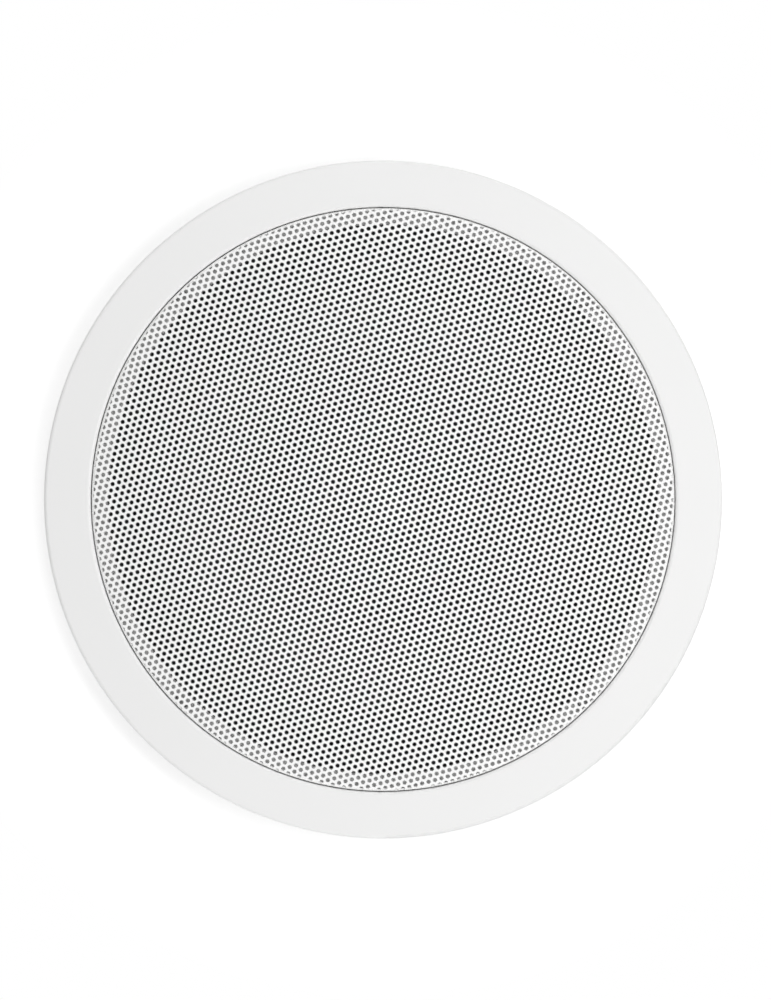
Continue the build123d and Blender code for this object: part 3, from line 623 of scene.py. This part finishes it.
# Faces wholly past the blank's edge are dropped, and points past it are pulled in to it
flat_points = flat.reshape(-1, 2)
flat_distance = np.hypot(flat_points[:, 0], flat_points[:, 1])
flat_angle = np.arctan2(flat_points[:, 1], flat_points[:, 0])
flat_faces = [kind[(flat_distance[kind] < blank_edge).any(axis=1)] for kind in (spots, strips, plugs)]
flat_distance = np.minimum(flat_distance, blank_edge)
print("flat faces", sum(map(len, flat_faces)))


# %% Perforated sheet
def sheet_metal(name, faces):
    """Sheet from flat faces: the front, the same faces behind it and a wall on each open edge.

    An edge is open where no face runs along it the other way. The holes' rims and the sheet's
    outline are such edges, so one rule closes them all.
    """
    used = np.unique(np.concatenate([kind.ravel() for kind in faces]))
    back = [np.searchsorted(used, kind) for kind in faces]
    side = len(used)
    start = np.concatenate([kind.ravel() for kind in back])
    end = np.concatenate([np.roll(kind, -1, axis=1).ravel() for kind in back])
    is_open = ~np.isin(start * side + end, end * side + start)
    start, end = start[is_open], end[is_open]
    walls = np.stack([start, end, end + side, start + side], axis=1)
    along, angle = flat_distance[used], flat_angle[used]
    points = np.concatenate([form(along, angle, 0.0), form(along, angle, SHEET)])
    face_sets = [kind[:, ::-1] for kind in back] + [kind + side for kind in back] + [walls]
    print(name, "triangles", sum(len(kind) * (kind.shape[1] - 2) for kind in face_sets))
    return add_mesh(name, points, face_sets, False)


# Two meshes of a handy size, which meet between two rings of holes
MARGIN = 8 * MM
for name, is_margin in (("grille_sheet", False), ("grille_margin", True)):
    faces = [
        kind[(flat_distance[kind].mean(axis=1) > crown_length - MARGIN) == is_margin] for kind in flat_faces
    ]
    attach(dress(sheet_metal(name, faces), "white_paint", "grille"), "frame_body")

# %% Turned edge
EDGE_SEGMENTS = 360
stops = np.array([blank_edge, crown_length + bend_length + edge_length])
stop_along = np.concatenate([stops, stops[::-1]])[None, :]
stop_depth = np.repeat([0, SHEET], len(stops))[None, :]
edge_points = form(stop_along, full_turn(EDGE_SEGMENTS)[:, None], stop_depth).reshape(-1, 3)
edge_quads = grid_faces(EDGE_SEGMENTS, 2 * len(stops), close_rows=True)[:, ::-1]
grille_edge = dress(add_mesh("grille_edge", edge_points, [edge_quads], False), "white_paint", "grille")
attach(grille_edge, "frame_body")
print("edge quads", len(edge_quads))

# %% [markdown]
# ## Surround and spider
#
# The cone hangs on two springs: the rubber half roll at its rim and the corrugated spider at
# its neck. Both are fixed at one edge and move with the cone at the other.


# %% Rings between the frame and the cone
def flex(piece):
    """Bake the piece's place into its mesh and read its points.
    """
    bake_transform(piece)
    points = np.empty(len(piece.data.vertices) * 3, np.float32)
    piece.data.vertices.foreach_get("co", points)


def sheet_profile(radius, height, thickness):
    """Closed outline of a thin sheet: its front line, then the same line moved back."""
    front_line = np.stack([radius, height], axis=1)
    back_line = np.stack([radius, height + thickness], axis=1)[::-1]
    return np.concatenate([front_line, back_line])


RING_SEGMENTS = 192
ROLL_STEPS = 22
LIP = 2.5 * MM
ROLL_SHEET = 0.6 * MM
surround_low, surround_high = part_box("surround")
cone_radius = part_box("cone")[1].x
roll_outer = surround_high.x - LIP
roll_front = surround_high.z - ROLL_SHEET
# Half an ellipse from the outer lip to the cone: its width goes with the cosine, its depth with the sine
sweep = np.linspace(0, math.pi, ROLL_STEPS)
roll_middle, roll_half = (roll_outer + cone_radius) / 2, (roll_outer - cone_radius) / 2
roll_r = np.concatenate([[surround_high.x], roll_middle + roll_half * np.cos(sweep), [cone_radius - LIP]])
roll_z = roll_front - np.concatenate([[0], (roll_front - surround_low.z) * np.sin(sweep), [0]])
points, faces = turned(sheet_profile(roll_r, roll_z, ROLL_SHEET), RING_SEGMENTS)
surround_roll = dress(add_mesh("surround_roll", points, [faces], True), "black_rubber", "surround")
flex(surround_roll)
print("surround", len(faces), "quads")

# %% Corrugated spider
WAVE_COUNT = 4
WAVE_HEIGHT = 1.2 * MM
WAVE_STEPS = 12
SPIDER_SHEET = 0.5 * MM
SPIDER_LIP = 4 * MM
spider_low, spider_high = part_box("spider")
neck_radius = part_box("coil_former")[1].x
shelf_level = (spider_low.z + spider_high.z - SPIDER_SHEET) / 2
wave_r = np.linspace(spider_high.x - SPIDER_LIP, neck_radius + SPIDER_LIP, WAVE_STEPS * WAVE_COUNT + 1)
# Between two flat lips the height is a sine of the way from one lip to the other
phase = np.linspace(0, 2 * math.pi * WAVE_COUNT, len(wave_r))
disc_r = np.concatenate([[spider_high.x], wave_r, [neck_radius]])
disc_z = shelf_level - np.concatenate([[0], WAVE_HEIGHT * np.sin(phase), [0]])
points, faces = turned(sheet_profile(disc_r, disc_z, SPIDER_SHEET), RING_SEGMENTS)
spider_disc = dress(add_mesh("spider_disc", points, [faces], True), "spider_cloth", "spider")
flex(spider_disc)
print("spider", len(faces), "quads")

# %% [markdown]
# ## Solids from grids
#
# Screws, windings, leads and springs are all closed solids with round sections. One grid serves
# them all: straight along an axis for what is turned or wound, along a curve for what is bent
# from wire. Blender's own cylinders would need a modifier for each shape; a grid takes any
# radius at any point, and two fans close its ends.

# %% Closed tubes and turned solids
WIRE_COLUMNS = 10


def capped(grid):
    """Close the two end rings of a rows by columns grid with a fan to each ring's middle."""
    rows, columns = grid.shape[:2]
    ring = np.arange(columns)
    after = np.roll(ring, -1)
    low, high = rows * columns, rows * columns + 1
    last = (rows - 1) * columns
    low_fan = np.stack([np.full(columns, low), after, ring], axis=1)
    high_fan = np.stack([np.full(columns, high), last + ring, last + after], axis=1)
    middles = np.stack([grid[0].mean(axis=0), grid[-1].mean(axis=0)])
    return np.concatenate([grid.reshape(-1, 3), middles]), [grid_faces(rows, columns), low_fan, high_fan]


def spun(radius, height, angle, origin, axis, side):
    """Turned grid: at each height along the axis, the radius at each angle from the side.

    A spoke is the side times the angle's cosine plus the third direction times its sine. A
    point lies at the origin plus the radius along its spoke plus the height along the axis.
    """
    axis, side = np.array(axis, float), np.array(side, float)
    spoke = np.cos(angle)[:, None] * side + np.sin(angle)[:, None] * np.cross(axis, side)
    radius = np.broadcast_to(radius, (len(height), len(angle)))
    return np.array(origin) + radius[..., None] * spoke + height[:, None, None] * axis


def tube(path, radius, normal):
    """Round wire: a circle carried along a path that lies in the plane with the given normal.

    The circle stands square to the path: it is the normal times the angle's cosine plus the
    direction across the path times its sine.
    """
    tangent = np.gradient(path, axis=0)
    tangent /= np.linalg.norm(tangent, axis=1, keepdims=True)
    angle = full_turn(WIRE_COLUMNS)
    across = np.cross(tangent, normal)
    circle = np.cos(angle)[:, None] * np.array(normal) + np.sin(angle)[:, None] * across[:, None, :]
    return path[:, None, :] + radius * circle


print("wires have", WIRE_COLUMNS, "sides")

# %% [markdown]
# ## Clamp screws
#
# Each clamp is driven by a long screw from the front. Its drawing is a plain cylinder with a
# head, because a thread is too fine for it. Here the radius also depends on the angle: adding
# the angle to the height before taking the wave turns a stack of rings into a helix. The
# driver's cross is sunk into the head by the same grid, whose first two rings follow the cross.

# %% Driver's cross in a screw head
HEAD_HEIGHT = 2.2 * MM
HEAD_ROUND = 0.6 * MM
CROSS_SHARE, CROSS_WIDTH, CROSS_DEPTH = 0.55, 0.9 * MM, 1.1 * MM
LEAST_SINE = 0.01
screw_low, screw_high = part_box("clamp_screw_1")
head_radius = (screw_high.x - screw_low.x) / 2
arm_end = CROSS_SHARE * head_radius

# Six angles a quarter: the cross's corners lie on them, and points between for roundness
corner_angle = math.atan2(CROSS_WIDTH / 2, arm_end)
inner_angle = math.radians(45)
half_way = (corner_angle + inner_angle) / 2
quarter = np.array([-corner_angle, 0, corner_angle, half_way, inner_angle, math.pi / 2 - half_way])
head_angle = (quarter + np.radians([[0], [90], [180], [270]])).ravel()
fold = (head_angle + inner_angle) % (math.pi / 2) - inner_angle
# Along the nearest arm, the edge is the arm's end or its flank, whichever comes first
flank = CROSS_WIDTH / 2 / np.maximum(np.abs(np.sin(fold)), LEAST_SINE)
cross_radius = np.minimum(arm_end / np.cos(fold), flank)
print("cross", round(2 * arm_end / MM, 2), "mm wide in a", round(2 * head_radius / MM, 1), "mm head")

# %% Threaded clamp screws
CLAMPS = 4
THREAD_PITCH = 0.7 * MM
THREAD_DEPTH = 0.28 * MM
ROWS_A_TURN = 6
SHANK_RADIUS = 1.75 * MM
TIP_LENGTH, TIP_NARROWING = 1.2 * MM, 0.5 * MM
length = screw_high.z - screw_low.z
turns = (length - HEAD_HEIGHT) / THREAD_PITCH
shank_height = np.linspace(HEAD_HEIGHT, length, int(turns * ROWS_A_TURN))
# A cosine of the height, one crest in each pitch, that lags by the angle: a helix
wave = np.cos(2 * math.pi * shank_height[:, None] / THREAD_PITCH - head_angle)
tip = np.clip((length - shank_height) / TIP_LENGTH, 0, 1)[:, None]
shank_radius = SHANK_RADIUS - THREAD_DEPTH * (0.5 + 0.5 * wave) - TIP_NARROWING * (1 - tip)

# From the cross's floor up its wall, over the rounded head and down to the shank
bow = np.radians([0, 30, 60, 90])
head_side = np.append(head_radius - HEAD_ROUND * (1 - np.sin(bow)), head_radius)
side_height = np.append(HEAD_ROUND * (1 - np.cos(bow)), HEAD_HEIGHT)
head_grid = np.repeat(head_side[:, None], len(head_angle), axis=1)
radius = np.concatenate([cross_radius[None], cross_radius[None], head_grid, shank_radius])
height = np.concatenate([[CROSS_DEPTH, 0], side_height, shank_height])
is_smooth = np.ones((len(height) - 1, len(head_angle)), bool)
is_smooth[:2] = False
is_smooth = np.append(is_smooth.ravel(), np.zeros(2 * len(head_angle), bool))
for number in range(1, CLAMPS + 1):
    low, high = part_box(f"clamp_screw_{number}")
    foot = ((low.x + high.x) / 2, (low.y + high.y) / 2, low.z)
    outward = np.array([foot[0], foot[1], 0]) / math.hypot(foot[0], foot[1])
    points, faces = capped(spun(radius, height, head_angle, foot, (0, 0, 1), outward))
    screw = add_mesh(f"threaded_screw_{number}", points, faces, is_smooth)
    dress(screw, "plated_steel", f"clamp_screw_{number}")
    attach(screw, f"screw_{number}_body")
print("screws with", round(turns), "turns of thread each")

# %% [markdown]
# ## Crossover parts
#
# The crossover on the frame's side sends low notes to the woofer and high ones to the tweeter.
# Its inductor is wound wire, its capacitor a can with a rolled bead, and bent leads carry the
# capacitor and the resistor. Wire wound for real would take a path of many metres. Only the
# outer layer shows, so the winding is a cylinder with a round swelling for each turn of wire.

# %% Inductor winding
WIRE = 0.9 * MM
ROWS_A_WIRE = 8
COIL_COLUMNS = 48
WIRE_BULGE = 0.9
low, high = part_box("inductor_winding")
coil_length = high.y - low.y
coil_height = np.linspace(0, coil_length, int(ROWS_A_WIRE * coil_length / WIRE))
angle = full_turn(COIL_COLUMNS)
# From -1 to 1 across each wire, and one wire further on after each turn
place = (coil_height[:, None] / WIRE - angle / (2 * math.pi)) % 1 * 2 - 1
outer = (high.x - low.x) / 2 - WIRE / 2 * (1 - np.sqrt(1 - WIRE_BULGE * place**2))
middle = ((low.x + high.x) / 2, low.y, (low.z + high.z) / 2)
points, faces = capped(spun(outer, coil_height, angle, middle, (0, 1, 0), (1, 0, 0)))
winding = dress(add_mesh("wound_inductor", points, faces, True), "copper_wire", "inductor_winding")
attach(winding, "frame_body")
print("inductor", round(coil_length / WIRE), "turns in the outer layer")

# %% Capacitor can with its bead
CAN_COLUMNS = 64
CAN_PARTS = 24
# Each height is in parts of the can's length, with the millimetres that the can is narrower there
CAN_OUTLINE = np.array(
    [
        *((0, 1.5), (0.15, 0.7), (0.7, 0), (2.6, 0), (3.0, 0.25), (3.5, 0.6), (4.0, 0.25), (4.4, 0)),
        *((12, 0), (22, 0), (23.2, 0), (23.7, 0.3), (23.9, 1.2), (23.6, 1.5)),
    ]
)
low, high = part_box("capacitor")
can_radius = (high.z - low.z) / 2
can_length = high.x - low.x
can_h = CAN_OUTLINE[:, 0] / CAN_PARTS * can_length
can_r = can_radius - CAN_OUTLINE[:, 1] * MM
middle = (low.x, (low.y + high.y) / 2, (low.z + high.z) / 2)
points, faces = capped(spun(can_r[:, None], can_h, full_turn(CAN_COLUMNS), middle, (1, 0, 0), (0, 1, 0)))
can = dress(add_mesh("capacitor_can", points, faces, True), "capacitor_sleeve", "capacitor")
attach(can, "frame_body")
print("capacitor", round(can_length / MM), "mm long")

# %% Component leads and solder joints
LEAD_RADIUS = 0.4 * MM
LEAD_REACH = 2.2 * MM
LEAD_STEPS = 14
JOINT_COLUMNS, JOINT_ROWS = 16, 6
JOINT_HEIGHT, JOINT_RADIUS, JOINT_CLOSES = 0.9 * MM, 1.3 * MM, 0.95 * MM
board_low, board_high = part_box("crossover_board")
ends = []
for node in ("capacitor", "resistor"):
    low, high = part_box(node)
    level = ((low.y + high.y) / 2, (low.z + high.z) / 2)
    ends += [((low.x, *level), -1), ((high.x, *level), 1)]
bend = np.linspace(0, 1, LEAD_STEPS)[:, None]
# A mound with the outline of an ellipse, cut off just before it closes
joint_h = np.linspace(0, JOINT_HEIGHT, JOINT_ROWS)
joint_r = JOINT_RADIUS * np.sqrt(1 - (joint_h / JOINT_CLOSES) ** 2)
for number, (start, side) in enumerate(ends, 1):
    start = np.array(start)
    knee = start + (side * LEAD_REACH, 0, 0)
    foot = np.array([knee[0], board_high.y, knee[2]])
    # Weights (1 - t)(1 - t), 2t(1 - t) and tt: it leaves towards the knee and lands on the foot
    path = (1 - bend) ** 2 * start + 2 * bend * (1 - bend) * knee + bend**2 * foot
    points, faces = capped(tube(path, LEAD_RADIUS, (0, 0, 1)))
    lead = dress(add_mesh(f"component_lead_{number}", points, faces, True), "plated_steel")
    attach(lead, "frame_body")
    pad = (foot[0], board_low.y, foot[2])
    mound = spun(joint_r[:, None], joint_h, full_turn(JOINT_COLUMNS), pad, (0, -1, 0), (1, 0, 0))
    points, faces = capped(mound)
    joint = dress(add_mesh(f"solder_joint_{number}", points, faces, True), "plated_steel")
    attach(joint, "frame_body")
print("leads", len(ends))

# %% [markdown]
# ## Terminal springs
#
# A small coil spring under each lever grips the speaker wire. It could be a Screw modifier on a
# circle, but a helix is as short to write as a path: the angle and the height grow together. The
# spring flattens as its lever is pushed.

# %% Coil springs under the terminal levers
SPRING_WIRE = 0.35 * MM
SPRING_TURNS = 6
STEPS_A_TURN = 24
UP = np.array([0, 0, 1.0])
# The spoke goes round while the height climbs, and the wire's circle spans spoke and up
travel = np.linspace(0, 1, STEPS_A_TURN * SPRING_TURNS)
angle = 2 * math.pi * SPRING_TURNS * travel
spoke = np.stack([np.cos(angle), np.sin(angle), 0 * angle], axis=1)
round_wire = full_turn(WIRE_COLUMNS)[None, :, None]
offset = np.cos(round_wire) * spoke[:, None, :] - np.sin(round_wire) * UP
for colour in ("black", "red"):
    low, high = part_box(f"terminal_spring_{colour}")
    middle = np.array([(low.x + high.x) / 2, (low.y + high.y) / 2, low.z + SPRING_WIRE])
    coil_radius = (high.x - low.x) / 2 - SPRING_WIRE
    climb = (high.z - low.z - 2 * SPRING_WIRE) * travel[:, None] * UP
    path = middle + coil_radius * spoke + climb
    points, faces = capped(path[:, None, :] + SPRING_WIRE * offset)
    spring = add_mesh(f"coil_spring_{colour}", points, faces, True)
    dress(spring, "plated_steel", f"terminal_spring_{colour}")
    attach(spring, "frame_body")
    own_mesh(spring)
print("springs", SPRING_TURNS, "turns each")

# %% [markdown]
# ## Stage
#
# The picture has a white ground that keeps only a thin soft shadow round the rim. The ground
# behind the rim is a ring that shows only from below. It lies a little above the rim's back,
# which makes that shadow wider and softer. The floor under the speaker shows only from above,
# for looks at its back, and round the rim its colour is darker: a painted shadow. Neither
# throws a shadow, so the lamps reach both sides. To be clear from behind, a ground mixes its
# surface with a Transparent one, by Backfacing.

# %% Stage surfaces
STAGE_RADIUS = 4.0
STAGE_SEGMENTS = 128
# How far out the painted shadow round the rim reaches
PAINTED_SHADE_SPREAD = 40 * MM


def background_rays(finish):
    """One for rays that look at the background, straight, in a mirror or through glass."""
    camera_ray = finish.node("ShaderNodeLightPath", output="Is Camera Ray")
    outputs = camera_ray.socket.node.outputs
    mirror, glass = (Value(finish, outputs[name]) for name in ("Is Glossy Ray", "Is Transmission Ray"))
    return (camera_ray + mirror + glass).math("MINIMUM", 1.0)


def one_sided(name, painted_shade, colour, glow, fade):
    """Matt ground that shows on its front only: seen from behind, it is clear.

    Its colour runs from the first colour at the rim to the second a few centimetres away; on the
    floor the first is darker, a painted shadow round the rim. From the first fade distance to the
    second it turns to pure white, so no horizon shows.
    """
    finish = Finish(name, roughness=0.9, specular_ior_level=0.0, emission_strength=1.0)
    distance = finish.axis_distance()
    # Painted shadow round the rim: the first colour there, the second a few centimetres out
    away = finish.ramp(distance, rim_radius - PAINTED_SHADE_SPREAD / 4, rim_radius + PAINTED_SHADE_SPREAD)
    far = finish.ramp(distance, *fade)
    finish.feed("Base Color", finish.between(far, finish.between(away, painted_shade, colour), (0, 0, 0)))
    bright = far.spread(glow, 1) * background_rays(finish)
    finish.feed("Emission Color", finish.between(bright, (0, 0, 0), (1, 1, 1)))
    behind = finish.node("ShaderNodeNewGeometry", output="Backfacing")
    clear = finish.node("ShaderNodeBsdfTransparent")
    front = Value(finish, finish.surface.outputs[0])
    either = finish.node("ShaderNodeMixShader", None, {0: behind, 1: front, 2: clear})
    finish.tree.links.new(either.socket, finish.tree.nodes["Material Output"].inputs["Surface"])
    return finish.material


def stage_disc(name, inner, height, facing_down, material):
    """Flat ring round the Z axis, from the inner radius to the stage's, facing up or down."""
    angle = full_turn(STAGE_SEGMENTS)
    circle = np.stack([np.cos(angle), np.sin(angle), 0 * angle], axis=1)
    points = np.concatenate([circle * inner, circle * STAGE_RADIUS]) + np.array([0, 0, height])
    faces = grid_faces(2, len(angle))
    disc = add_mesh(name, points, [faces if facing_down else faces[:, ::-1]], False)
    disc.data.materials.append(material)
    disc.visible_shadow = False
    disc.visible_diffuse = False
    disc.visible_glossy = False
    return disc


print("stage", STAGE_RADIUS, "m in radius")

# %% Ceiling and floor
CEILING_WHITE, CEILING_GLOW, CEILING_FADE = (0.9, 0.9, 0.9), 0.285, (0.15, 0.2)
CEILING_HEIGHT = 11 * MM
FLOOR_HOLE = 1 * MM
# The floor's darker colour at the rim is a painted shadow
FLOOR_PAINTED_SHADE, FLOOR_PALE, FLOOR_FADE = (0.52, 0.52, 0.52), (0.84, 0.84, 0.84), (0.35, 1.8)
ceiling_hole = (rim_radius + edge_radius) / 2
ceiling_paint = one_sided("ceiling_white", CEILING_WHITE, CEILING_WHITE, CEILING_GLOW, CEILING_FADE)
ceiling = stage_disc("ceiling", ceiling_hole, CEILING_HEIGHT, facing_down=True, material=ceiling_paint)
floor_paint = one_sided("floor_pale", FLOOR_PAINTED_SHADE, FLOOR_PALE, glow=0.0, fade=FLOOR_FADE)
floor = stage_disc("floor", FLOOR_HOLE, cad_low.z, facing_down=False, material=floor_paint)
print("stage", ceiling.name, floor.name)

# %% [markdown]
# ## Light
#
# The face has plain soft light: a key from the right, near enough to fade across the rim, and
# large lamps above and below. Two low lamps graze the rim from the top and the bottom, which
# keeps its rounded edge from turning dark there. Two more stand behind for looks at the back.
# The world gives half the light, and rays that look straight at it see plain white.


# %% Lamps
def lamp(name, place, size, power):
    """Square area lamp at a place, turned to the speaker's middle."""
    data = bpy.data.lights.new(name, "AREA")
    data.size = size
    data.energy = power
    made = bpy.data.objects.new(name, data)
    made.location = place
    made.rotation_euler = (-made.location).to_track_quat("-Z", "Y").to_euler()
    bpy.context.scene.collection.objects.link(made)


lamp("key_right", place=(0.62, 0.05, -1.0), size=0.65, power=3.0)
lamp("fill_top", place=(0.1, -1.2, -1.9), size=0.8, power=6.8)
lamp("fill_bottom", place=(0.1, 1.3, -1.8), size=1.4, power=6.6)
lamp("edge_top", place=(0.35, -1.6, -0.5), size=0.8, power=5.8)
lamp("edge_bottom", place=(0.35, 1.6, -0.5), size=0.8, power=6.4)
lamp("back_key", place=(1.8, -2.2, 2.6), size=1.6, power=32.0)
lamp("back_fill", place=(-2.4, 1.8, 2.4), size=2.0, power=18.0)


# %% World
class Sky(Finish):
    """The world's nodes, which take the same sums as a finish."""

    def __init__(self, name):
        bpy.context.scene.world = bpy.data.worlds.new(name)
        bpy.context.scene.world.use_nodes = True
        self.tree = bpy.context.scene.world.node_tree
        self.surface = self.tree.nodes["Background"]


WORLD_LIGHT = 0.5
sky = Sky("studio")
sky.surface.inputs["Color"].default_value = (1, 1, 1, 1)
sky.feed("Strength", background_rays(sky).spread(WORLD_LIGHT, 1))
print("world light", WORLD_LIGHT)

# %% [markdown]
# ## Sizes
#
# The dressed speaker has to stay as large as its drawing.
